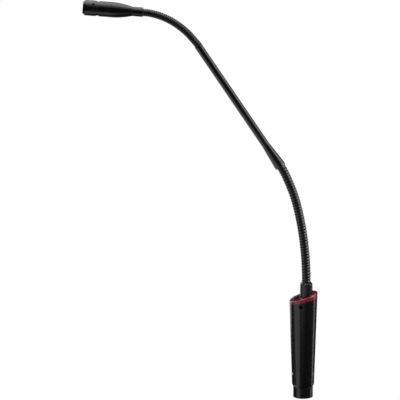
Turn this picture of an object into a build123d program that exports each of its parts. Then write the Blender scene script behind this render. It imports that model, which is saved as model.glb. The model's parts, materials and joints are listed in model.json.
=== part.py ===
from build123d import *
import os
from math import cos, radians, sin, tan

# Gooseneck podium microphone, in millimetres.
# Origin: centre of the open lower end of the XLR plug shell.  +Z runs up the handle, -Y points at the talker.

os.makedirs("parts", exist_ok=True)

# ---------------------------------------------------------------- driving dimensions: plug and handle
shell_r = 9.5
shell_wall = 1.4
shell_exposed = 10.9
shell_top_z = 27.0
shell_seat_step = 0.5
shell_mouth_round = 0.5
latch_window_w = 4.0
latch_window_h = 2.6
latch_window_z = 7.9

insert_bottom_z = 14.5
insert_top_z = 26.0
pin_r = 1.2
pin_circle_r = 4.05
pin_tip_z = 1.5
pin_tail_top_z = 34.0
pin_count = 3
pin_spread = 180

foot_step = 1.2
foot_chamfer_w = 1.05
foot_chamfer_h = 2.0
foot_edge_round = 0.5
handle_draft = 1.9
handle_wall = 2.4
rim_z = 97.1
rim_slope = 14.5

block_seat_z = 84.0
block_thickness = 4.5
pocket_r = 11.0

# ---------------------------------------------------------------- driving dimensions: light cap and button
lens_thickness = 3.6
deck_slope = 19.0
lens_edge_round = 1.0
skirt_wall = 1.6

button_y = -6.8
button_r = 2.8
button_proud = 2.3
button_travel = 0.8
button_round = 0.6
button_flange_r = 3.3
button_flange_t = 0.8
button_flange_depth = 3.3
plunger_r = 0.95
plunger_length = 1.7
plunger_showing = 1.1
plunger_well_depth = 1.75
switch_size = 4.0
switch_height = 2.0

light_board_t = 1.0
led_length = 2.0
led_width = 1.25
led_height = 0.8
led_circle_r = 7.2
led_angles = (0, 180, 222, 318)

# ---------------------------------------------------------------- driving dimensions: electronics
board_t = 1.6
board_half_w = 7.9
board_bottom_z = 30.0
board_top_z = 76.0
rail_depth = 1.1
rail_lip = 1.2
capacitor_r = 2.5
capacitor_h = 5.4
capacitor_round = 0.4
capacitor_heights = (42.0, 50.0, 58.0)
chip_heights = (46.0, 60.0)
chip_size = 5.0
chip_t = 1.6
wire_r = 0.4
wire_bend_r = 0.8
wire_solder_length = 6.0

# ---------------------------------------------------------------- driving dimensions: collar and neck
collar_y = 2.8
collar_r_bottom = 6.3
collar_r_top = 6.0
collar_top_z = 114.4
collar_chamfer = 1.2
collar_edge_round = 0.3
collar_socket_depth = 11.0
stem_r = 4.3
stem_bottom_z = 79.5
nut_flats = 11.0
nut_height = 3.5

cable_r = 1.3
cable_tail_length = 2.5
signal_wire_drop = 5.0
neck_hinges = 6

lower_r = 4.15
lower_bore_r = 2.2
lower_length = 119.5
lower_turn = 33.5
lower_even_turn = 20.7
lower_end_power = 6
lower_hinge_bend = 12.5

tube_r = 3.8
tube_bore_r = 2.9
tube_length = 143.4
flare_r = 5.4
flare_length = 26.0
flare_lip = 3.0
flare_edge_round = 0.3
flare_socket_depth = 10.0

upper_r = 3.5
upper_bore_r = 1.9
upper_length = 64.4
upper_turn = 51.8
upper_even_turn = 46.0
upper_end_power = 3
upper_hinge_bend = 15.0
upper_spigot_length = 10.0

# ---------------------------------------------------------------- driving dimensions: head
sleeve_r = 4.55
sleeve_length = 10.6
sleeve_socket_depth = 8.0
sleeve_spigot_r = 3.0
sleeve_spigot_length = 5.0
barrel_r = 7.4
taper_length = 19.8
barrel_length = 14.2
groove_width = 2.4
groove_depth = 0.55
head_wall = 1.1
head_edge_round = 0.25
barrel_spigot_length = 4.0
cap_r = 7.5
cap_length = 10.9
cap_bevel_length = 2.3
cap_front_r = 5.6
cap_lip_r = 4.9
cap_lip_t = 0.8
cap_joint_length = 1.8
port_r = 1.4
port_count = 8
port_first_angle = 3
port_behind_tip = 9.9
grille_t = 0.5
grille_hole_r = 0.36
grille_pitch = 1.15
grille_rings = 3
felt_t = 1.4
capsule_r = 5.0
capsule_length = 4.5
gasket_length = 3.4
head_board_t = 1.2
head_board_seat = 1.2
capsule_wire_offset = 1.7

# ---------------------------------------------------------------- clearances
press_clearance = 0.03
slide_clearance = 0.08
thread_clearance = 0.03
loose_clearance = 0.3
hinge_clearance = 0.15

# ---------------------------------------------------------------- screws
insert_screw_z = 23.8
insert_screw_angles = (-72, 72)
insert_screw_r = 1.0
insert_screw_head_r = 1.75
insert_screw_head_t = 0.9
insert_screw_reach = 6.6
cap_screw_z = 92.9
cap_screw_angle = -10.7
cap_screw_r = 1.2
cap_screw_head_r = 1.9
cap_screw_head_t = 0.9
cap_screw_recess = 0.5
screw_slot_w = 0.5
screw_slot_depth = 0.4

# ---------------------------------------------------------------- worked-out places
foot_top_z = shell_exposed + foot_chamfer_h
deck_z = rim_z + lens_thickness
block_top_z = block_seat_z + block_thickness
cut_height = 140.0
board_front_y = -pin_r
board_mid_y = board_front_y - board_t / 2
shell_bore_r = shell_r - shell_wall
shell_seat_r = shell_r - shell_seat_step
foot_r = shell_r + foot_step
skirt_r = pocket_r - press_clearance
skirt_bore_r = skirt_r - skirt_wall


def handle_radius(z):
    """Outer radius of the tapered handle at height z."""
    return foot_r + tan(radians(handle_draft)) * (z - foot_top_z)


def sloped_plane(z, slope):
    """Plane that crosses the handle's axis at height z and falls towards the talker."""
    normal = (0, -sin(radians(slope)), cos(radians(slope)))
    return Plane(origin=(0, 0, z), x_dir=(1, 0, 0), z_dir=normal)


def radial_plane(z, angle):
    """Plane on the handle's axis whose normal points outwards at an angle from +X."""
    return Plane(origin=(0, 0, z), z_dir=(cos(radians(angle)), sin(radians(angle)), 0))


def finish(piece, name):
    """Label a finished piece and write its STEP file."""
    piece.part.label = name
    export_step(piece.part, f"parts/{name}.step")


rim_plane = sloped_plane(rim_z, rim_slope)
deck_plane = sloped_plane(deck_z, deck_slope)
button_plane = Plane(
    origin=(0, button_y, deck_z + button_y * tan(radians(deck_slope))),
    x_dir=(1, 0, 0),
    z_dir=deck_plane.z_dir,
)
switch_top_depth = button_flange_depth + button_flange_t + plunger_showing
light_board_depth = switch_top_depth + switch_height
light_board_z = deck_z - light_board_depth / cos(radians(deck_slope))
light_board_top = sloped_plane(light_board_z, deck_slope)
light_board_bottom = light_board_top.offset(-light_board_t)
cap_screw_plane = radial_plane(cap_screw_z, cap_screw_angle)
insert_screw_planes = [radial_plane(insert_screw_z, angle) for angle in insert_screw_angles]


# ================================================================ plug
with BuildPart() as xlr_shell:
    with BuildSketch(Plane.XY):
        Circle(shell_r)
        Circle(shell_bore_r, mode=Mode.SUBTRACT)
    extrude(amount=shell_exposed)
    with BuildSketch(Plane.XY.offset(shell_exposed)):
        Circle(shell_seat_r)
        Circle(shell_bore_r, mode=Mode.SUBTRACT)
    extrude(amount=shell_top_z - shell_exposed)
    bottom_edges = xlr_shell.edges().filter_by(GeomType.CIRCLE).group_by(Axis.Z)[0]
    fillet(bottom_edges.sort_by(SortBy.RADIUS)[0], radius=shell_mouth_round)
    with BuildSketch(radial_plane(latch_window_z, 180)):
        Rectangle(latch_window_w, latch_window_h)
    extrude(amount=foot_r, mode=Mode.SUBTRACT)
    for plane in insert_screw_planes:
        with BuildSketch(plane):
            Circle(insert_screw_r + slide_clearance)
        extrude(amount=foot_r, mode=Mode.SUBTRACT)
finish(xlr_shell, "xlr_shell")

with BuildPart() as xlr_insert:
    with BuildSketch(Plane.XY.offset(insert_bottom_z)):
        Circle(shell_bore_r - press_clearance)
        with PolarLocations(pin_circle_r, pin_count, angular_range=pin_spread, endpoint=True):
            Circle(pin_r, mode=Mode.SUBTRACT)
    extrude(amount=insert_top_z - insert_bottom_z)
    for plane in insert_screw_planes:
        with BuildSketch(plane.offset(insert_screw_reach)):
            Circle(insert_screw_r + thread_clearance)
        extrude(amount=shell_r, mode=Mode.SUBTRACT)
finish(xlr_insert, "xlr_insert")

with BuildPart() as xlr_pins:
    with BuildSketch(Plane.XY.offset(pin_tip_z)):
        with PolarLocations(pin_circle_r, pin_count, angular_range=pin_spread, endpoint=True):
            Circle(pin_r)
    extrude(amount=pin_tail_top_z - pin_tip_z)
    fillet(xlr_pins.edges().group_by(Axis.Z)[0], radius=pin_r / 2)
finish(xlr_pins, "xlr_pins")


# ================================================================ handle
rail_inner_x = board_half_w - rail_depth
rail_mid_x = rail_inner_x + pocket_r / 2
rail_bottom_z = pin_tail_top_z
cap_screw_seat = handle_radius(cap_screw_z) - cap_screw_recess - cap_screw_head_t
insert_screw_seat = handle_radius(insert_screw_z) - insert_screw_head_t

with BuildPart() as handle_cavity:
    with BuildSketch(Plane.XZ):
        with BuildLine():
            Polyline(
                (0, 0),
                (shell_seat_r + press_clearance, 0),
                (shell_seat_r + press_clearance, shell_top_z),
                (handle_radius(shell_top_z) - handle_wall, shell_top_z),
                (handle_radius(block_seat_z) - handle_wall, block_seat_z),
                (pocket_r, block_seat_z),
                (pocket_r, cut_height),
                (0, cut_height),
                close=True,
            )
        make_face()
    revolve(axis=Axis.Z)
    with BuildSketch(Plane.XY.offset(rail_bottom_z)):
        with Locations((rail_mid_x, board_mid_y), (-rail_mid_x, board_mid_y)):
            Rectangle(pocket_r, board_t + 2 * slide_clearance + 2 * rail_lip)
    extrude(amount=board_top_z - rail_bottom_z, mode=Mode.SUBTRACT)
    with BuildSketch(Plane.XY.offset(rail_bottom_z)):
        with Locations((0, board_mid_y)):
            Rectangle(2 * (board_half_w + slide_clearance), board_t + 2 * slide_clearance)
    extrude(amount=board_top_z - rail_bottom_z)

with BuildPart() as housing:
    with BuildSketch(Plane.XZ):
        with BuildLine():
            Polyline(
                (0, shell_exposed),
                (foot_r - foot_chamfer_w, shell_exposed),
                (foot_r, foot_top_z),
                (handle_radius(cut_height), cut_height),
                (0, cut_height),
                close=True,
            )
        make_face()
    revolve(axis=Axis.Z)
    foot_edges = housing.edges().filter_by(GeomType.CIRCLE).group_by(Axis.Z)
    fillet(foot_edges[0] + foot_edges[1], radius=foot_edge_round)
    add(handle_cavity.part, mode=Mode.SUBTRACT)
    split(bisect_by=rim_plane, keep=Keep.BOTTOM)
    for plane in insert_screw_planes:
        with BuildSketch(plane):
            Circle(insert_screw_r + slide_clearance)
        extrude(amount=cut_height, mode=Mode.SUBTRACT)
        with BuildSketch(plane.offset(insert_screw_seat)):
            Circle(insert_screw_head_r + slide_clearance)
        extrude(amount=cut_height, mode=Mode.SUBTRACT)
    with BuildSketch(cap_screw_plane):
        Circle(cap_screw_r + slide_clearance)
    extrude(amount=cut_height, mode=Mode.SUBTRACT)
    with BuildSketch(cap_screw_plane.offset(cap_screw_seat)):
        Circle(cap_screw_head_r + slide_clearance)
    extrude(amount=cut_height, mode=Mode.SUBTRACT)
finish(housing, "housing")


def add_slotted_screw(plane, reach, seat, shank_r, head_r, head_t):
    """Add a slotted screw to the open part: its shank from reach to seat along the normal, then its head."""
    with BuildSketch(plane.offset(reach)) as shank:
        Circle(shank_r)
    extrude(shank.sketch, amount=seat - reach)
    with BuildSketch(plane.offset(seat)) as head:
        Circle(head_r)
    extrude(head.sketch, amount=head_t)
    with BuildSketch(plane.offset(seat + head_t)) as slot:
        Rectangle(2 * head_r, screw_slot_w)
    extrude(slot.sketch, amount=-screw_slot_depth, mode=Mode.SUBTRACT)


with BuildPart() as xlr_screws:
    for plane in insert_screw_planes:
        add_slotted_screw(
            plane,
            insert_screw_reach,
            insert_screw_seat,
            insert_screw_r,
            insert_screw_head_r,
            insert_screw_head_t - slide_clearance,
        )
finish(xlr_screws, "xlr_screws")

with BuildPart() as cap_screw:
    add_slotted_screw(
        cap_screw_plane,
        skirt_bore_r,
        cap_screw_seat,
        cap_screw_r,
        cap_screw_head_r,
        cap_screw_head_t,
    )
finish(cap_screw, "cap_screw")


# ================================================================ electronics
with BuildPart() as main_board:
    with BuildSketch(Plane.XY.offset(board_bottom_z)):
        with Locations((0, board_mid_y)):
            Rectangle(2 * board_half_w, board_t)
    extrude(amount=board_top_z - board_bottom_z)
finish(main_board, "main_board")

board_back_plane = Plane(origin=(0, board_front_y - board_t, 0), x_dir=(1, 0, 0), z_dir=(0, -1, 0))
board_front_plane = Plane(origin=(0, board_front_y, 0), x_dir=(-1, 0, 0), z_dir=(0, 1, 0))

with BuildPart() as capacitors:
    with BuildSketch(board_back_plane):
        with Locations(*[(0, height) for height in capacitor_heights]):
            Circle(capacitor_r)
    extrude(amount=capacitor_h)
    fillet(capacitors.edges().group_by(Axis.Y)[0], radius=capacitor_round)
finish(capacitors, "capacitors")

with BuildPart() as chips:
    with BuildSketch(board_front_plane):
        with Locations(*[(0, height) for height in chip_heights]):
            Rectangle(chip_size, chip_size)
    extrude(amount=chip_t)
finish(chips, "chips")


# ================================================================ neck block, light cap and button
light_wire_x = board_half_w - rail_depth - 2 * wire_r
light_wire_places = [(side * light_wire_x, board_front_y + wire_r) for side in (-1, 1)]
light_wire_bottom_z = board_top_z - wire_solder_length

with BuildPart() as neck_block:
    with BuildSketch(Plane.XY.offset(block_seat_z)):
        Circle(pocket_r - press_clearance)
    extrude(amount=block_thickness)
    with BuildSketch(Plane.XY.offset(block_top_z)):
        Circle(skirt_bore_r - loose_clearance)
    extrude(amount=cut_height - block_top_z)
    split(bisect_by=light_board_bottom, keep=Keep.BOTTOM)
    with BuildSketch(Plane.XY.offset(block_seat_z)):
        with Locations((0, collar_y)):
            Circle(stem_r + thread_clearance)
        with Locations(*light_wire_places):
            Circle(wire_r + slide_clearance)
    extrude(amount=cut_height - block_seat_z, mode=Mode.SUBTRACT)
finish(neck_block, "neck_block")

with BuildPart() as light_cap_skirt:
    with BuildSketch(Plane.XY.offset(block_top_z)):
        Circle(skirt_r)
        Circle(skirt_bore_r, mode=Mode.SUBTRACT)
    extrude(amount=cut_height - block_top_z)
    split(bisect_by=rim_plane, keep=Keep.BOTTOM)

with BuildPart() as light_cap:
    with BuildSketch(Plane.XZ):
        with BuildLine():
            Polyline(
                (0, shell_exposed),
                (handle_radius(shell_exposed), shell_exposed),
                (handle_radius(cut_height), cut_height),
                (0, cut_height),
                close=True,
            )
        make_face()
    revolve(axis=Axis.Z)
    split(bisect_by=deck_plane, keep=Keep.BOTTOM)
    split(bisect_by=rim_plane, keep=Keep.TOP)
    fillet(light_cap.faces().sort_by(Axis.Z)[-1].edges(), radius=lens_edge_round)
    add(light_cap_skirt.part)
    with BuildSketch(Plane.XY.offset(block_seat_z)):
        with Locations((0, collar_y)):
            Circle(stem_r + loose_clearance)
    extrude(amount=cut_height - block_seat_z, mode=Mode.SUBTRACT)
    with BuildSketch(button_plane.offset(-light_board_depth)):
        Circle(button_r + slide_clearance)
    extrude(amount=2 * light_board_depth, mode=Mode.SUBTRACT)
    with BuildSketch(cap_screw_plane):
        Circle(cap_screw_r + thread_clearance)
    extrude(amount=cut_height, mode=Mode.SUBTRACT)
finish(light_cap, "light_cap")

with BuildPart() as light_board:
    with BuildSketch(Plane.XY.offset(block_seat_z)):
        Circle(skirt_bore_r - loose_clearance)
    extrude(amount=cut_height - block_seat_z)
    split(bisect_by=light_board_top, keep=Keep.BOTTOM)
    split(bisect_by=light_board_bottom, keep=Keep.TOP)
    with BuildSketch(Plane.XY.offset(block_seat_z)):
        with Locations((0, collar_y)):
            Circle(stem_r + loose_clearance)
    extrude(amount=cut_height - block_seat_z, mode=Mode.SUBTRACT)
finish(light_board, "light_board")

with BuildPart() as leds:
    with BuildSketch(light_board_top):
        for angle in led_angles:
            with PolarLocations(led_circle_r, 1, start_angle=angle):
                Rectangle(led_width, led_length)
    extrude(amount=led_height)
finish(leds, "leds")

with BuildPart() as tact_switch:
    with BuildSketch(button_plane.offset(-light_board_depth)):
        Rectangle(switch_size, switch_size)
    extrude(amount=switch_height)
    with BuildSketch(button_plane.offset(-switch_top_depth)):
        Circle(plunger_r + slide_clearance)
    extrude(amount=-plunger_well_depth, mode=Mode.SUBTRACT)
finish(tact_switch, "tact_switch")

with BuildPart() as mute_button:
    with BuildSketch(button_plane.offset(-button_flange_depth - button_flange_t)):
        Circle(button_flange_r)
    extrude(amount=button_flange_t)
    with BuildSketch(button_plane.offset(-button_flange_depth)):
        Circle(button_r)
    extrude(amount=button_flange_depth + button_proud)
    fillet(mute_button.edges().sort_by(Axis((0, 0, 0), deck_plane.z_dir))[-1], radius=button_round)
finish(mute_button, "mute_button")

with BuildPart() as switch_plunger:
    with BuildSketch(button_plane.offset(-button_flange_depth - button_flange_t)):
        Circle(plunger_r)
    extrude(amount=-plunger_length)
finish(switch_plunger, "switch_plunger")

with BuildPart() as light_wires:
    with BuildSketch(Plane.XY.offset(light_wire_bottom_z)):
        with Locations(*light_wire_places):
            Circle(wire_r)
    extrude(amount=cut_height - light_wire_bottom_z)
    split(bisect_by=light_board_bottom, keep=Keep.BOTTOM)
finish(light_wires, "light_wires")


# ================================================================ collar and the neck's centreline
collar_axis = Axis((0, collar_y, 0), (0, 0, 1))
with BuildPart() as neck_collar:
    with BuildSketch(Plane.YZ):
        with BuildLine():
            Polyline(
                (collar_y, block_top_z),
                (collar_y + collar_r_bottom, block_top_z),
                (collar_y + collar_r_top, collar_top_z - collar_chamfer),
                (collar_y + collar_r_top - collar_chamfer, collar_top_z),
                (collar_y, collar_top_z),
                close=True,
            )
        make_face()
    revolve(axis=collar_axis)
    collar_edges = neck_collar.edges().filter_by(GeomType.CIRCLE).group_by(Axis.Z)
    fillet(collar_edges[-1] + collar_edges[-2], radius=collar_edge_round)
    split(bisect_by=deck_plane, keep=Keep.TOP)
    with BuildSketch(Plane.XY.offset(stem_bottom_z)):
        with Locations((0, collar_y)):
            Circle(stem_r)
    extrude(amount=collar_top_z - collar_socket_depth - stem_bottom_z)
    with BuildSketch(Plane.XY.offset(stem_bottom_z)):
        with Locations((0, collar_y)):
            Circle(lower_bore_r)
    extrude(amount=collar_top_z - stem_bottom_z, mode=Mode.SUBTRACT)
    with BuildSketch(Plane.XY.offset(collar_top_z - collar_socket_depth)):
        with Locations((0, collar_y)):
            Circle(lower_r + press_clearance)
    extrude(amount=collar_socket_depth, mode=Mode.SUBTRACT)
finish(neck_collar, "neck_collar")

with BuildPart() as collar_nut:
    with BuildSketch(Plane.XY.offset(block_seat_z - nut_height)):
        with Locations((0, collar_y)):
            RegularPolygon(nut_flats / 2, 6, major_radius=False)
            Circle(stem_r + thread_clearance, mode=Mode.SUBTRACT)
    extrude(amount=nut_height)
finish(collar_nut, "collar_nut")


class Station:
    """A place on the neck's centreline: its point in the X=0 plane and its lean from +Z towards -Y."""

    def __init__(self, y, z, lean):
        self.y = y
        self.z = z
        self.lean = lean

    @property
    def along(self):
        """Unit vector along the neck."""
        return Vector(0, -sin(radians(self.lean)), cos(radians(self.lean)))

    @property
    def point(self):
        return Vector(0, self.y, self.z)

    @property
    def plane(self):
        """Cross-section plane, with its normal along the neck."""
        return Plane(origin=self.point, x_dir=(1, 0, 0), z_dir=self.along)

    @property
    def side_plane(self):
        """Plane for turned profiles: local x is the radius and local y runs along the neck."""
        return Plane(origin=self.point, x_dir=(1, 0, 0), z_dir=Vector(1, 0, 0).cross(self.along))

    def bend_centre(self, length, turn):
        """Centre of the arc that leaves this station."""
        inwards = Vector(0, -cos(radians(self.lean)), -sin(radians(self.lean)))
        return self.point + inwards * (length / radians(turn))

    def after(self, length, turn=0.0):
        """The station further along, over a straight run or an arc."""
        if turn == 0:
            end = self.point + self.along * length
        else:
            centre = self.bend_centre(length, turn)
            arm = self.point - centre
            end = centre + arm.rotate(Axis.X, turn)
        return Station(end.Y, end.Z, self.lean + turn)


def lower_turn_at(distance):
    """Degrees that the lower gooseneck has turned after a distance along it: it bends most near its top."""
    share = distance / lower_length
    return lower_even_turn * share + (lower_turn - lower_even_turn) * share**lower_end_power


def upper_turn_at(distance):
    """Degrees that the upper gooseneck has turned after a distance along it: it bends most near the head."""
    share = distance / upper_length
    return upper_even_turn * share + (upper_turn - upper_even_turn) * share**upper_end_power


def split_flex(start, length, turn_at):
    """Share a gooseneck out into a half link, the full links between the hinges, and a half link."""
    pitch = length / neck_hinges
    marks = [0] + [pitch * (number + 0.5) for number in range(neck_hinges)] + [length]
    links = []
    for low, high in zip(marks[:-1], marks[1:]):
        turn = turn_at(high) - turn_at(low)
        links.append((start, high - low, turn))
        start = start.after(high - low, turn)
    return links, start


neck_start = Station(collar_y, collar_top_z, 0)
lower_links, tube_start = split_flex(neck_start, lower_length, lower_turn_at)
upper_links, head_start = split_flex(tube_start.after(tube_length), upper_length, upper_turn_at)
lower_hinges = [start for start, length, turn in lower_links[1:]]
upper_hinges = [start for start, length, turn in upper_links[1:]]


def hinge_gap(radius, bend):
    """Half the room between two links, so that their edges stay apart at full bend."""
    return radius * tan(radians(bend / 2)) + hinge_clearance


def add_bent_tube(start, length, turn, radius, bore_r):
    """Add an arc of tube, or of solid rod with a bore of nought, to the open part."""
    with BuildSketch(start.plane) as section:
        Circle(radius)
        if bore_r > 0:
            Circle(bore_r, mode=Mode.SUBTRACT)
    revolve(section.sketch, axis=Axis(start.bend_centre(length, turn), (1, 0, 0)), revolution_arc=turn)


def add_straight_tube(start, length, radius, bore_r):
    """Add a straight tube, or a rod with a bore of nought, to the open part."""
    with BuildSketch(start.plane) as section:
        Circle(radius)
        if bore_r > 0:
            Circle(bore_r, mode=Mode.SUBTRACT)
    extrude(section.sketch, amount=length)


def trimmed(link, gap_before, gap_after):
    """A link with room for its hinges taken off its ends."""
    start, length, turn = link
    rate = turn / length
    kept = length - gap_before - gap_after
    return start.after(gap_before, rate * gap_before), kept, rate * kept


def make_links(links, prefix, cable_prefix, radius, bore_r, bend):
    """The free links of a gooseneck, each with its own stretch of cable."""
    gap = hinge_gap(radius, bend)
    for number, link in enumerate(links[1:-1], start=1):
        with BuildPart() as sleeve:
            add_bent_tube(*trimmed(link, gap, gap), radius, bore_r)
        finish(sleeve, f"{prefix}_{number}")
        with BuildPart() as cable:
            add_bent_tube(*trimmed(link, gap, gap), cable_r, 0)
        finish(cable, f"{cable_prefix}_{number}")


make_links(lower_links, "lower_gooseneck", "lower_cable", lower_r, lower_bore_r, lower_hinge_bend)
make_links(upper_links, "upper_gooseneck", "upper_cable", upper_r, upper_bore_r, upper_hinge_bend)
lower_gap = hinge_gap(lower_r, lower_hinge_bend)
upper_gap = hinge_gap(upper_r, upper_hinge_bend)
lower_root = trimmed(lower_links[0], 0, lower_gap)
lower_tip = trimmed(lower_links[-1], lower_gap, 0)
upper_root = trimmed(upper_links[0], 0, upper_gap)
upper_tip = trimmed(upper_links[-1], upper_gap, 0)
tube_end = tube_start.after(tube_length)
collar_seat = neck_start.after(-collar_socket_depth)
spigot_seat = tube_end.after(-upper_spigot_length)

with BuildPart() as lower_gooseneck_0:
    add_straight_tube(collar_seat, collar_socket_depth, lower_r, lower_bore_r)
    add_bent_tube(*lower_root, lower_r, lower_bore_r)
finish(lower_gooseneck_0, "lower_gooseneck_0")

with BuildPart() as lower_gooseneck_6:
    add_bent_tube(*lower_tip, lower_r, lower_bore_r)
    add_straight_tube(tube_start, flare_socket_depth, lower_r, lower_bore_r)
finish(lower_gooseneck_6, "lower_gooseneck_6")

with BuildPart() as upper_gooseneck_0:
    add_straight_tube(spigot_seat, upper_spigot_length, tube_bore_r - press_clearance, upper_bore_r)
    add_bent_tube(*upper_root, upper_r, upper_bore_r)
finish(upper_gooseneck_0, "upper_gooseneck_0")

with BuildPart() as upper_gooseneck_6:
    add_bent_tube(*upper_tip, upper_r, upper_bore_r)
    add_straight_tube(head_start, sleeve_socket_depth, upper_r, upper_bore_r)
finish(upper_gooseneck_6, "upper_gooseneck_6")


# ================================================================ rigid tube
with BuildPart() as rigid_tube:
    with BuildSketch(tube_start.side_plane):
        with BuildLine():
            Polyline(
                (lower_r + press_clearance, 0),
                (flare_r, 0),
                (flare_r, flare_lip),
                (tube_r, flare_length),
                (tube_r, tube_length),
                (tube_bore_r, tube_length),
                (tube_bore_r, flare_socket_depth),
                (lower_r + press_clearance, flare_socket_depth),
                close=True,
            )
        make_face()
    tube_axis = Axis(tube_start.point, tube_start.along)
    revolve(axis=tube_axis)
    flare_edges = rigid_tube.edges().filter_by(GeomType.CIRCLE).group_by(tube_axis)[0]
    fillet(flare_edges.sort_by(SortBy.RADIUS)[-1], radius=flare_edge_round)
finish(rigid_tube, "rigid_tube")


# ================================================================ microphone cable and wires in the handle
cable_bottom_z = stem_bottom_z - cable_tail_length
cable_bottom = Station(collar_y, cable_bottom_z, 0)
with BuildPart() as base_cable:
    add_straight_tube(cable_bottom, collar_top_z - cable_bottom_z, cable_r, 0)
    add_bent_tube(*lower_root, cable_r, 0)
finish(base_cable, "base_cable")

with BuildPart() as tube_cable:
    add_bent_tube(*lower_tip, cable_r, 0)
    add_straight_tube(tube_start, tube_length, cable_r, 0)
    add_bent_tube(*upper_root, cable_r, 0)
finish(tube_cable, "tube_cable")

signal_wire_z = cable_bottom_z - signal_wire_drop
with BuildPart() as signal_wires:
    for side in (-1, 1):
        wire_x = side * cable_r / 2
        with BuildLine() as route:
            FilletPolyline(
                (wire_x, collar_y, cable_bottom_z),
                (wire_x, collar_y, signal_wire_z),
                (wire_x, board_front_y, signal_wire_z),
                radius=wire_bend_r,
            )
        with BuildSketch(Plane(origin=(wire_x, collar_y, cable_bottom_z), z_dir=(0, 0, -1))):
            Circle(wire_r)
        sweep(path=route.line)
finish(signal_wires, "signal_wires")


# ================================================================ head
taper_h = sleeve_length
barrel_h = taper_h + taper_length
cap_h = barrel_h + barrel_length
bevel_h = cap_h + cap_length
tip_h = bevel_h + cap_bevel_length
lip_h = tip_h - cap_lip_t
head_axis = Axis(head_start.point, head_start.along)
barrel_spigot_r = barrel_r - head_wall
spigot_bore_r = barrel_spigot_r - head_wall
cap_bore_r = cap_r - head_wall
grille_r = cap_bore_r - head_wall
grille_h = lip_h - grille_t
felt_h = grille_h - felt_t
gasket_h = felt_h - gasket_length
capsule_h = felt_h - capsule_length
head_board_h = barrel_h + head_board_seat


def add_turned(points):
    """Add the ring that a radius and distance outline sweeps about the head's axis to the open part."""
    with BuildSketch(head_start.side_plane) as outline:
        with BuildLine():
            Polyline(*points, close=True)
        make_face()
    revolve(outline.sketch, axis=head_axis)


def add_ring(low, high, outer_r, inner_r=0.0):
    """Add a plain ring or disc on the head's axis to the open part."""
    add_turned([(inner_r, low), (outer_r, low), (outer_r, high), (inner_r, high)])


def round_outer_edges(piece, distances):
    """Round the outermost edge of a turned head piece at each distance along the head."""
    circles = piece.edges().filter_by(GeomType.CIRCLE)
    for distance in distances:
        centre = head_start.after(distance).point
        level = circles.filter_by(lambda edge: (edge.arc_center - centre).length < press_clearance)
        fillet(level.sort_by(SortBy.RADIUS)[-1], radius=head_edge_round)


with BuildPart() as head_sleeve:
    add_turned(
        [
            (upper_r + press_clearance, 0),
            (sleeve_r, 0),
            (sleeve_r, taper_h),
            (sleeve_spigot_r, taper_h),
            (sleeve_spigot_r, taper_h + sleeve_spigot_length),
            (upper_bore_r, taper_h + sleeve_spigot_length),
            (upper_bore_r, sleeve_socket_depth),
            (upper_r + press_clearance, sleeve_socket_depth),
        ]
    )
    round_outer_edges(head_sleeve, [0])
finish(head_sleeve, "head_sleeve")

taper_rise = barrel_r - sleeve_r
taper_arc_r = (taper_length**2 + taper_rise**2) / (2 * taper_rise)
barrel_spigot_h = barrel_h - barrel_spigot_length
with BuildPart() as head_taper:
    with BuildSketch(head_start.side_plane):
        with BuildLine():
            Line((sleeve_spigot_r + press_clearance, taper_h), (sleeve_r, taper_h))
            RadiusArc((sleeve_r, taper_h), (barrel_r, barrel_h), -taper_arc_r)
            Polyline(
                (barrel_r, barrel_h),
                (barrel_spigot_r + press_clearance, barrel_h),
                (barrel_spigot_r + press_clearance, barrel_spigot_h),
                (spigot_bore_r, barrel_spigot_h),
                (sleeve_spigot_r + press_clearance, taper_h + sleeve_spigot_length),
                (sleeve_spigot_r + press_clearance, taper_h),
            )
        make_face()
    revolve(axis=head_axis)
finish(head_taper, "head_taper")

with BuildPart() as head_barrel:
    add_turned(
        [
            (spigot_bore_r, barrel_spigot_h),
            (barrel_spigot_r, barrel_spigot_h),
            (barrel_spigot_r, barrel_h),
            (barrel_r, barrel_h),
            (barrel_r, cap_h - groove_width),
            (barrel_r - groove_depth, cap_h - groove_width),
            (barrel_r - groove_depth, cap_h),
            (cap_bore_r - press_clearance, cap_h),
            (cap_bore_r - press_clearance, cap_h + cap_joint_length),
            (spigot_bore_r, cap_h + cap_joint_length),
            (spigot_bore_r, head_board_h + head_board_t),
            (barrel_spigot_r, head_board_h + head_board_t),
            (barrel_spigot_r, head_board_h),
            (spigot_bore_r, head_board_h),
        ]
    )
    round_outer_edges(head_barrel, [barrel_h, cap_h - groove_width])
finish(head_barrel, "head_barrel")

with BuildPart() as head_cap:
    add_turned(
        [
            (cap_bore_r, cap_h),
            (cap_r, cap_h),
            (cap_r, bevel_h),
            (cap_front_r, tip_h),
            (cap_lip_r, tip_h),
            (cap_lip_r, lip_h),
            (grille_r, lip_h),
            (grille_r, felt_h),
            (cap_bore_r, felt_h),
        ]
    )
    round_outer_edges(head_cap, [cap_h, bevel_h, tip_h])
    port_station = head_start.after(tip_h - port_behind_tip)
    for number in range(port_count):
        port_angle = port_first_angle + number * 360 / port_count
        across = Vector(1, 0, 0).rotate(head_axis, -port_angle)
        with BuildSketch(Plane(origin=port_station.point, z_dir=across)):
            Circle(port_r)
        extrude(amount=2 * cap_r, mode=Mode.SUBTRACT)
finish(head_cap, "head_cap")

with BuildPart() as front_grille:
    add_ring(grille_h, lip_h, grille_r - press_clearance)
    with BuildSketch(head_start.after(grille_h).plane):
        Circle(grille_hole_r)
        for ring in range(1, grille_rings + 1):
            with PolarLocations(ring * grille_pitch, 6 * ring):
                Circle(grille_hole_r)
    extrude(amount=grille_t, mode=Mode.SUBTRACT)
finish(front_grille, "front_grille")

with BuildPart() as felt_disc:
    add_ring(felt_h, grille_h, grille_r - press_clearance)
finish(felt_disc, "felt_disc")

with BuildPart() as capsule:
    add_ring(capsule_h, felt_h, capsule_r)
finish(capsule, "capsule")

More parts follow.
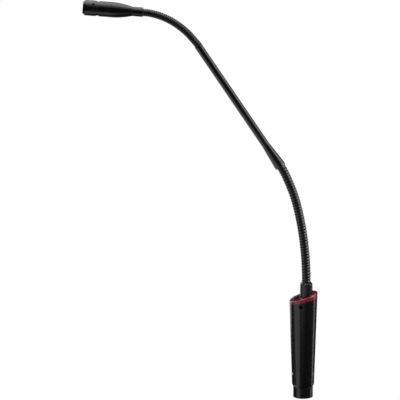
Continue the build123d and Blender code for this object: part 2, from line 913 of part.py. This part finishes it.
with BuildPart() as capsule_gasket:
    add_ring(gasket_h, felt_h, cap_bore_r - press_clearance, capsule_r + press_clearance)
finish(capsule_gasket, "capsule_gasket")

with BuildPart() as head_board:
    add_ring(head_board_h, head_board_h + head_board_t, barrel_spigot_r - press_clearance)
finish(head_board, "head_board")

with BuildPart() as capsule_wires:
    with BuildSketch(head_start.after(head_board_h + head_board_t).plane):
        with Locations((capsule_wire_offset, 0), (-capsule_wire_offset, 0)):
            Circle(wire_r)
    extrude(amount=capsule_h - head_board_h - head_board_t)
finish(capsule_wires, "capsule_wires")

with BuildPart() as head_cable:
    add_bent_tube(*upper_tip, cable_r, 0)
    add_straight_tube(head_start, head_board_h, cable_r, 0)
finish(head_cable, "head_cable")
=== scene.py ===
import json
import math

import bpy
import numpy as np
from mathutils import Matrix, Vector

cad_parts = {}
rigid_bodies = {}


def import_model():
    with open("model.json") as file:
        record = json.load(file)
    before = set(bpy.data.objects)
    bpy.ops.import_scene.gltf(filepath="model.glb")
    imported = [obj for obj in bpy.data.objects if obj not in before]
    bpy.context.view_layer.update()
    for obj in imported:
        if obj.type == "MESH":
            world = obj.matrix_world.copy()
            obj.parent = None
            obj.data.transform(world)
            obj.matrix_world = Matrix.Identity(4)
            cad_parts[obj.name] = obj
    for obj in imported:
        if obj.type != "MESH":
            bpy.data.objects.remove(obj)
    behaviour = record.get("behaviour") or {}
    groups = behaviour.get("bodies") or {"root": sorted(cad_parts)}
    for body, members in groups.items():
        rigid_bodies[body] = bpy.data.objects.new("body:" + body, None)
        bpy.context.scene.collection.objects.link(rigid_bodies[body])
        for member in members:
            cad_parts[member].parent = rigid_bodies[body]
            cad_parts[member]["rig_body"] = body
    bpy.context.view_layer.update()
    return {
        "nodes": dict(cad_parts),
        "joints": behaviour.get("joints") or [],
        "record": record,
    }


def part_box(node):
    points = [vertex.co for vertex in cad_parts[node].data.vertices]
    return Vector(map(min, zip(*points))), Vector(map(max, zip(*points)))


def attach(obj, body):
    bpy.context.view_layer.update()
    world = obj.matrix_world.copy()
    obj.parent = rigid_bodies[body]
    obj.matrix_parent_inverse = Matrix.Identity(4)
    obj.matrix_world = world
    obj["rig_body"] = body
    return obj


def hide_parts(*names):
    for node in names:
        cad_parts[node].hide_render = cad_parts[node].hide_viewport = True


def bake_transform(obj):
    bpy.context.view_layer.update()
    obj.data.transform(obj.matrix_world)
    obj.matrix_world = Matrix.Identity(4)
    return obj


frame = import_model()
nodes = frame["nodes"]
scene = bpy.context.scene

# ---------------------------------------------------------------- sizes, in metres
MM = 0.001
VIEW_ELEVATION = 15.0
VIEW_DISTANCE = 8.0
VIEW_WIDTH = 0.3848
VIEW_CENTRE = (0.0, -0.0997, 0.1966)
SENSOR_WIDTH = 36.0
CLIP_END = 50.0
FLOOR_HALF = 6.0
FLOOR_DROP = 0.2 * MM
SURROUND_STRENGTH = 0.03

NECK_MIDDLE = (0.0, -0.08, 0.18)
HANDLE_MIDDLE = (0.0, 0.0, 0.08)
SOFTBOXES = [
    # name, what it faces, azimuth and elevation in degrees, distance and size in metres, brightness
    ("back_left", NECK_MIDDLE, -138, 30, 1.5, (1.1, 1.2), 2.0),
    ("back_left_near", HANDLE_MIDDLE, -142, 4, 0.42, (0.3, 0.34), 1.5),
    ("front_left_near", HANDLE_MIDDLE, -56, -6, 0.3, (0.32, 0.38), 0.72),
    ("front_middle_near", HANDLE_MIDDLE, -6, -4, 0.36, (0.34, 0.2), 0.36),
    ("right_near", NECK_MIDDLE, 80, 6, 0.42, (0.44, 0.26), 3.8),
    ("back_right", NECK_MIDDLE, 107, -8, 1.5, (0.24, 2.0), 2.3),
    ("upper_right", NECK_MIDDLE, 86, 30, 1.6, (1.4, 0.6), 3.0),
    ("overhead", NECK_MIDDLE, 180, 72, 1.5, (1.5, 1.7), 3.2),
    ("overhead_front", NECK_MIDDLE, 0, 66, 1.5, (1.3, 0.6), 1.0),
    ("below_left", NECK_MIDDLE, -100, -50, 1.5, (1.6, 0.9), 0.95),
]

LOWER_WIRE_PITCH = 2.8 * MM
UPPER_WIRE_PITCH = 2.0 * MM
LOWER_RADIUS = 4.15 * MM
LOWER_BORE = 2.2 * MM
LOWER_RIDGE = 0.45 * MM
UPPER_RADIUS = 3.5 * MM
UPPER_BORE = 1.9 * MM
UPPER_RIDGE = 0.3 * MM
WIRE_PROUD = 0.15 * MM
WIRE_CROWN = 2.2
TANGENT_STEP = 0.5 * MM
EDGE_ROUND = 0.3 * MM
GRAIN_DEPTH = 0.05 * MM
GLOSS_TO_BLOTCH = 3.1
RINGS_PER_TURN = 12
SIDES = 56
TUCK = 1.5 * MM
SCREEN_REAR = 11.3 * MM
SCREEN_FRONT = 6.3 * MM
SCREEN_OUTER = 6.3 * MM
SCREEN_INNER = 5.9 * MM


def add(name, data):
    """Put a new object into the scene."""
    made = bpy.data.objects.new(name, data)
    scene.collection.objects.link(made)
    return made


# ================================================================ camera, floor and light
def aim(thing, target):
    """Turn a camera or light so that it looks at a point."""
    direction = Vector(target) - thing.location
    thing.rotation_euler = direction.to_track_quat("-Z", "Y").to_euler()


def make_camera():
    """Level side view from +X, a little above, through a long lens."""
    data = bpy.data.cameras.new("camera")
    data.sensor_width = SENSOR_WIDTH
    data.lens = SENSOR_WIDTH * VIEW_DISTANCE / VIEW_WIDTH
    data.clip_end = CLIP_END
    camera = add("camera", data)
    lift = math.radians(VIEW_ELEVATION)
    away = Vector((math.cos(lift), 0.0, math.sin(lift))) * VIEW_DISTANCE
    camera.location = Vector(VIEW_CENTRE) + away
    aim(camera, VIEW_CENTRE)
    scene.camera = camera


def make_softbox(name, target, azimuth, elevation, distance, size, brightness):
    """A softbox that faces a point, at an angle round from +X and up from the level.

    The ones in front are elliptical, the rest rectangular.
    """
    width, height = size
    data = bpy.data.lights.new(name, "AREA")
    data.shape = "ELLIPSE" if name.startswith("front") else "RECTANGLE"
    data.size, data.size_y = size
    data.energy = math.pi * width * height * brightness
    light = add(name, data)
    turn, lift = math.radians(azimuth), math.radians(elevation)
    towards = Vector((math.cos(lift) * math.cos(turn), math.cos(lift) * math.sin(turn), math.sin(lift)))
    light.location = Vector(target) + towards * distance
    light.visible_camera = False
    aim(light, target)


def make_stage():
    """Evenly white floor just under the object, a dim surround and the softboxes."""
    half = FLOOR_HALF
    corners = [(-half, -half), (half, -half), (half, half), (-half, half)]
    mesh = bpy.data.meshes.new("floor")
    mesh.from_pydata([(x, y, -FLOOR_DROP) for x, y in corners], [], [(0, 1, 2, 3)])
    floor = add("floor", mesh)
    floor.visible_glossy = False
    floor.visible_transmission = False
    floor.visible_shadow = False
    material = bpy.data.materials.new("floor")
    material.use_nodes = True
    shader = material.node_tree.nodes["Principled BSDF"]
    shader.inputs["Base Color"].default_value = (0.0, 0.0, 0.0, 1.0)
    shader.inputs["Specular IOR Level"].default_value = 0.0
    shader.inputs["Emission Color"].default_value = (1.0, 1.0, 1.0, 1.0)
    shader.inputs["Emission Strength"].default_value = 1.0
    mesh.materials.append(material)

    world = bpy.data.worlds.new("surround")
    world.use_nodes = True
    world.node_tree.nodes["Background"].inputs["Color"].default_value = (1.0, 1.0, 1.0, 1.0)
    world.node_tree.nodes["Background"].inputs["Strength"].default_value = SURROUND_STRENGTH
    scene.world = world
    scene.view_settings.view_transform = "Standard"

    for softbox in SOFTBOXES:
        make_softbox(*softbox)


# ================================================================ materials
def node(tree, kind, **inputs):
    """Add a shader node and set its input sockets by name."""
    made = tree.nodes.new(kind)
    for name, value in inputs.items():
        made.inputs[name.replace("_", " ")].default_value = value
    return made


def noise(tree, scale, detail=4.0):
    """Noise in the object's own frame, in waves per metre."""
    place = tree.nodes.new("ShaderNodeTexCoord")
    made = node(tree, "ShaderNodeTexNoise", Scale=scale, Detail=detail)
    tree.links.new(place.outputs["Object"], made.inputs["Vector"])
    return made.outputs["Fac"]


def ramp(tree, source, low, high, start=0.35, end=0.65):
    """Map a 0 to 1 value onto a range of colours."""
    made = tree.nodes.new("ShaderNodeValToRGB")
    made.color_ramp.elements[0].position = start
    made.color_ramp.elements[1].position = end
    made.color_ramp.elements[0].color = low
    made.color_ramp.elements[1].color = high
    tree.links.new(source, made.inputs["Fac"])
    return made.outputs["Color"]


def grey(value):
    """A colour with its three channels alike."""
    return (value, value, value, 1.0)


def shaded(colour, factor):
    """A colour made darker or lighter."""
    return tuple(min(1.0, channel * factor) for channel in colour[:3]) + (1.0,)


def surface(
    name, colour, roughness, metallic=0.0, grain=9000.0, bump=0.05, mottle=0.12, blotch=140.0, spread=0.04
):
    """A material with mottled colour, uneven gloss, a fine surface grain and softened edges."""
    material = bpy.data.materials.new(name)
    material.use_nodes = True
    tree = material.node_tree
    shader = tree.nodes["Principled BSDF"]
    shader.inputs["Metallic"].default_value = metallic
    patches = noise(tree, blotch)
    tint = ramp(tree, patches, shaded(colour, 1 - mottle), shaded(colour, 1 + mottle))
    tree.links.new(tint, shader.inputs["Base Color"])
    gloss_noise = noise(tree, blotch * GLOSS_TO_BLOTCH)
    gloss = ramp(tree, gloss_noise, grey(roughness - spread), grey(roughness + spread))
    tree.links.new(gloss, shader.inputs["Roughness"])
    height = node(tree, "ShaderNodeBump", Strength=bump, Distance=GRAIN_DEPTH)
    tree.links.new(noise(tree, grain, 2.0), height.inputs["Height"])
    edges = node(tree, "ShaderNodeBevel", Radius=EDGE_ROUND)
    tree.links.new(edges.outputs["Normal"], height.inputs["Normal"])
    tree.links.new(height.outputs["Normal"], shader.inputs["Normal"])
    return material


def lens_material():
    """Glossy crimson plastic, deep in colour."""
    material = surface("red_lens", (0.12, 0.0012, 0.012), 0.25, bump=0.0, mottle=0.06, spread=0.02)
    shader = material.node_tree.nodes["Principled BSDF"]
    shader.inputs["IOR"].default_value = 1.55
    shader.inputs["Subsurface Weight"].default_value = 0.15
    shader.inputs["Subsurface Radius"].default_value = (0.002, 0.0003, 0.0004)
    return material


def recess_shade_screw_material():
    """Matt black screw deep in its recess that hardly reflects: painted shade standing in for the shade of
    the recess.
    """
    material = surface("dark_screw", (0.001, 0.001, 0.001), 0.7)
    material.node_tree.nodes["Principled BSDF"].inputs["Specular IOR Level"].default_value = 0.06
    return material


MATERIALS = {
    "handle_paint": lambda: surface("handle_paint", (0.002, 0.002, 0.0021), 0.24, bump=0.03),
    "plug_metal": lambda: surface("plug_metal", (0.003, 0.003, 0.0032), 0.24, metallic=0.05),
    "black_plastic": lambda: surface("black_plastic", (0.02, 0.02, 0.021), 0.5),
    "pin_metal": lambda: surface("pin_metal", (0.83, 0.62, 0.28), 0.24, metallic=1.0, mottle=0.05),
    "screw_metal": lambda: surface("screw_metal", (0.62, 0.62, 0.63), 0.3, metallic=1.0),
    # near-black, barely reflecting screw: painted shade of its recess
    "dark_screw": recess_shade_screw_material,
    "circuit_board": lambda: surface("circuit_board", (0.02, 0.13, 0.05), 0.35),
    "capacitor_sleeve": lambda: surface("capacitor_sleeve", (0.02, 0.03, 0.08), 0.3),
    "wire_sleeve": lambda: surface("wire_sleeve", (0.03, 0.004, 0.004), 0.5),
    "collar_paint": lambda: surface("collar_paint", (0.003, 0.003, 0.0032), 0.25, bump=0.08),
    "led_body": lambda: surface("led_body", (0.8, 0.72, 0.6), 0.3),
    "cable_sleeve": lambda: surface("cable_sleeve", (0.02, 0.02, 0.02), 0.6),
    "button_rubber": lambda: surface("button_rubber", (0.008, 0.0095, 0.009), 0.36, bump=0.1),
    "tube_paint": lambda: surface("tube_paint", (0.0025, 0.0025, 0.0027), 0.2),
    "gooseneck_wire": lambda: surface("gooseneck_wire", (0.004, 0.004, 0.0042), 0.26, metallic=0.05),
    "head_paint": lambda: surface("head_paint", (0.002, 0.002, 0.0021), 0.24, bump=0.03),
    "grille_metal": lambda: surface("grille_metal", (0.03, 0.03, 0.03), 0.4, metallic=0.6),
    "felt": lambda: surface("felt", (0.02, 0.02, 0.02), 0.95, grain=3000.0, bump=0.6),
    "capsule_metal": lambda: surface("capsule_metal", (0.72, 0.72, 0.74), 0.28, metallic=1.0),
    "gasket_rubber": lambda: surface("gasket_rubber", (0.03, 0.03, 0.03), 0.7),
    "red_lens": lens_material,
}


def dress_nodes():
    """Give every CAD node the material of its slot."""
    made = {slot: build() for slot, build in MATERIALS.items()}
    for part in frame["record"]["subparts"]:
        mesh = nodes[part["node"]].data
        mesh.materials.clear()
        mesh.materials.append(made[part["material_slot"]])
    return made


# ================================================================ goosenecks
def turned_ends(name):
    """End points of a long turned part's axis, the lower one first, from its mesh."""
    mesh = nodes[name].data
    points = np.zeros(len(mesh.vertices) * 3)
    mesh.vertices.foreach_get("co", points)
    points = points.reshape(-1, 3)
    low, high = points.min(0), points.max(0)
    middle = (low + high) / 2
    spread = np.linalg.svd(points - points.mean(0), full_matrices=False)[2][0]
    if spread[2] < 0:
        spread = -spread
    along = (points - middle) @ spread
    return middle + spread * along.min(), middle + spread * along.max()


class Centreline:
    """Smooth curve in the X=0 plane through the hinges of a gooseneck, measured along its length."""

    STEPS = 40

    def __init__(self, points, first_tangent, last_tangent):
        knots = [np.array(point) for point in points]
        tangents = [np.array(first_tangent)]
        for before, after in zip(knots[:-2], knots[2:]):
            step = after - before
            tangents.append(step / np.linalg.norm(step))
        tangents.append(np.array(last_tangent))
        samples = []
        for number in range(len(knots) - 1):
            a, b = knots[number], knots[number + 1]
            reach = np.linalg.norm(b - a)
            for t in np.linspace(0, 1, self.STEPS, endpoint=False):
                samples.append(self.hermite(a, b, tangents[number] * reach, tangents[number + 1] * reach, t))
        samples.append(knots[-1])
        self.samples = np.array(samples)
        gaps = np.linalg.norm(np.diff(self.samples, axis=0), axis=1)
        self.distance = np.concatenate([[0.0], np.cumsum(gaps)])
        self.length = self.distance[-1]
        self.ends = tangents[0], tangents[-1]

    @staticmethod
    def hermite(a, b, leave, arrive, t):
        """Point at a fraction of the way between two knots, with the tangent at each."""
        return (
            (2 * t**3 - 3 * t**2 + 1) * a
            + (t**3 - 2 * t**2 + t) * leave
            + (3 * t**2 - 2 * t**3) * b
            + (t**3 - t**2) * arrive
        )

    def at(self, s):
        """Point at a distance along the curve, carried on straight past its ends."""
        if s < 0:
            return self.samples[0] + self.ends[0] * s
        if s > self.length:
            return self.samples[-1] + self.ends[1] * (s - self.length)
        return np.array([np.interp(s, self.distance, self.samples[:, axis]) for axis in range(3)])

    def direction(self, s):
        """Unit tangent at a distance along the curve."""
        ahead = self.at(s + TANGENT_STEP) - self.at(s - TANGENT_STEP)
        return ahead / np.linalg.norm(ahead)


def wound_tube(name, line, start, end, radius, bore, pitch, ridge):
    """A hollow tube wound from round wire between two distances along a centreline."""
    rings = max(4, int(round((end - start) / pitch * RINGS_PER_TURN)))
    sideways = np.array((1.0, 0.0, 0.0))
    vertices, faces = [], []
    for ring in range(rings + 1):
        s = start + (end - start) * ring / rings
        centre, ahead = line.at(s), line.direction(s)
        upwards = np.cross(sideways, ahead)
        for side in range(SIDES):
            turn = side / SIDES
            phase = (s / pitch - turn) % 1.0
            height = ridge * (1 - abs(2 * phase - 1) ** WIRE_CROWN)
            reach = radius + WIRE_PROUD - ridge + height
            angle = 2 * math.pi * turn
            vertices.append(centre + reach * (math.cos(angle) * sideways + math.sin(angle) * upwards))
    inner_start = len(vertices)
    for s in (start, end):
        centre, ahead = line.at(s), line.direction(s)
        upwards = np.cross(sideways, ahead)
        for side in range(SIDES):
            angle = 2 * math.pi * side / SIDES
            vertices.append(centre + bore * (math.cos(angle) * sideways + math.sin(angle) * upwards))
    for ring in range(rings):
        for side in range(SIDES):
            following = (side + 1) % SIDES
            low, high = ring * SIDES, (ring + 1) * SIDES
            faces.append((low + side, low + following, high + following, high + side))
    for side in range(SIDES):
        following = (side + 1) % SIDES
        first, last = inner_start, inner_start + SIDES
        top = rings * SIDES
        faces.append((first + side, last + side, last + following, first + following))
        faces.append((side, first + side, first + following, following))
        faces.append((top + side, top + following, last + following, last + side))
    mesh = bpy.data.meshes.new(name)
    mesh.from_pydata([tuple(v) for v in vertices], [], faces)
    mesh.update()
    mesh.polygons.foreach_set("use_smooth", [True] * rings * SIDES + [False] * 3 * SIDES)
    return add(name, mesh)


def make_gooseneck(section, line, radius, bore, pitch, ridge, bodies, material):
    """Six wound lengths, one for each hinge, laid end to end along the curve."""
    count = len(bodies) - 1
    share = line.length / count
    for number in range(count):
        start, end = number * share, (number + 1) * share
        low = start - (TUCK if number == 0 else 0.0)
        high = end + (TUCK if number == count - 1 else 0.0)
        name = f"{section}_gooseneck_wound_{number + 1}"
        piece = wound_tube(name, line, low, high, radius, bore, pitch, ridge)
        piece.data.materials.append(material)
        line.at(start)
        line.at(end)
        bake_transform(piece)
        replaced = [f"{section}_gooseneck_{number}"]
        if number == count - 1:
            replaced.append(f"{section}_gooseneck_{count}")
        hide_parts(*replaced)


def make_goosenecks(material):
    """Both goosenecks, each on a curve from its lower seat through its hinges to its upper seat."""
    collar_low, collar_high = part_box("neck_collar")
    collar_top = (0.0, (collar_low.y + collar_high.y) / 2, collar_high.z)
    tube_low, tube_high = turned_ends("rigid_tube")
    sleeve_low, sleeve_high = sorted(turned_ends("head_sleeve"), key=lambda end: -end[1])
    hinges = {"lower": [], "upper": []}
    chains = {"lower": ["base"], "upper": ["tube"]}
    for joint in frame["joints"]:
        section = joint["name"].split("_")[0]
        if section in hinges:
            hinges[section].append(joint["pos_m"])
            chains[section].append(joint["child"])
    tube_along = (tube_high - tube_low) / np.linalg.norm(tube_high - tube_low)
    head_along = (sleeve_high - sleeve_low) / np.linalg.norm(sleeve_high - sleeve_low)
    lower = Centreline([collar_top, *hinges["lower"], tube_low], (0.0, 0.0, 1.0), tube_along)
    upper = Centreline([tube_high, *hinges["upper"], sleeve_low], tube_along, head_along)
    lower_sizes = LOWER_RADIUS, LOWER_BORE, LOWER_WIRE_PITCH, LOWER_RIDGE
    upper_sizes = UPPER_RADIUS, UPPER_BORE, UPPER_WIRE_PITCH, UPPER_RIDGE
    make_gooseneck("lower", lower, *lower_sizes, chains["lower"], material)
    make_gooseneck("upper", upper, *upper_sizes, chains["upper"], material)


def make_port_screen(material):
    """The ring of dark felt inside the cap, behind the side ports."""
    low, high = turned_ends("head_cap")
    rear, front = (low, high) if low[1] > high[1] else (high, low)
    along = (front - rear) / np.linalg.norm(front - rear)
    sideways = np.array((1.0, 0.0, 0.0))
    upwards = np.cross(sideways, along)
    rings = [
        (SCREEN_REAR, SCREEN_OUTER),
        (SCREEN_FRONT, SCREEN_OUTER),
        (SCREEN_FRONT, SCREEN_INNER),
        (SCREEN_REAR, SCREEN_INNER),
    ]
    vertices, faces = [], []
    for behind, radius in rings:
        for side in range(SIDES):
            angle = 2 * math.pi * side / SIDES
            rim = radius * (math.cos(angle) * sideways + math.sin(angle) * upwards)
            vertices.append(tuple(front - behind * along + rim))
    for ring in range(len(rings)):
        first, second = ring * SIDES, (ring + 1) % len(rings) * SIDES
        for side in range(SIDES):
            following = (side + 1) % SIDES
            faces.append((first + side, second + side, second + following, first + following))
    mesh = bpy.data.meshes.new("port_screen")
    mesh.from_pydata(vertices, [], faces)
    mesh.update()
    mesh.materials.append(material)
    made = add("port_screen", mesh)
    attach(made, nodes["head_cap"]["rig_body"])


make_camera()
make_stage()
made_materials = dress_nodes()
make_goosenecks(made_materials["gooseneck_wire"])
make_port_screen(made_materials["felt"])
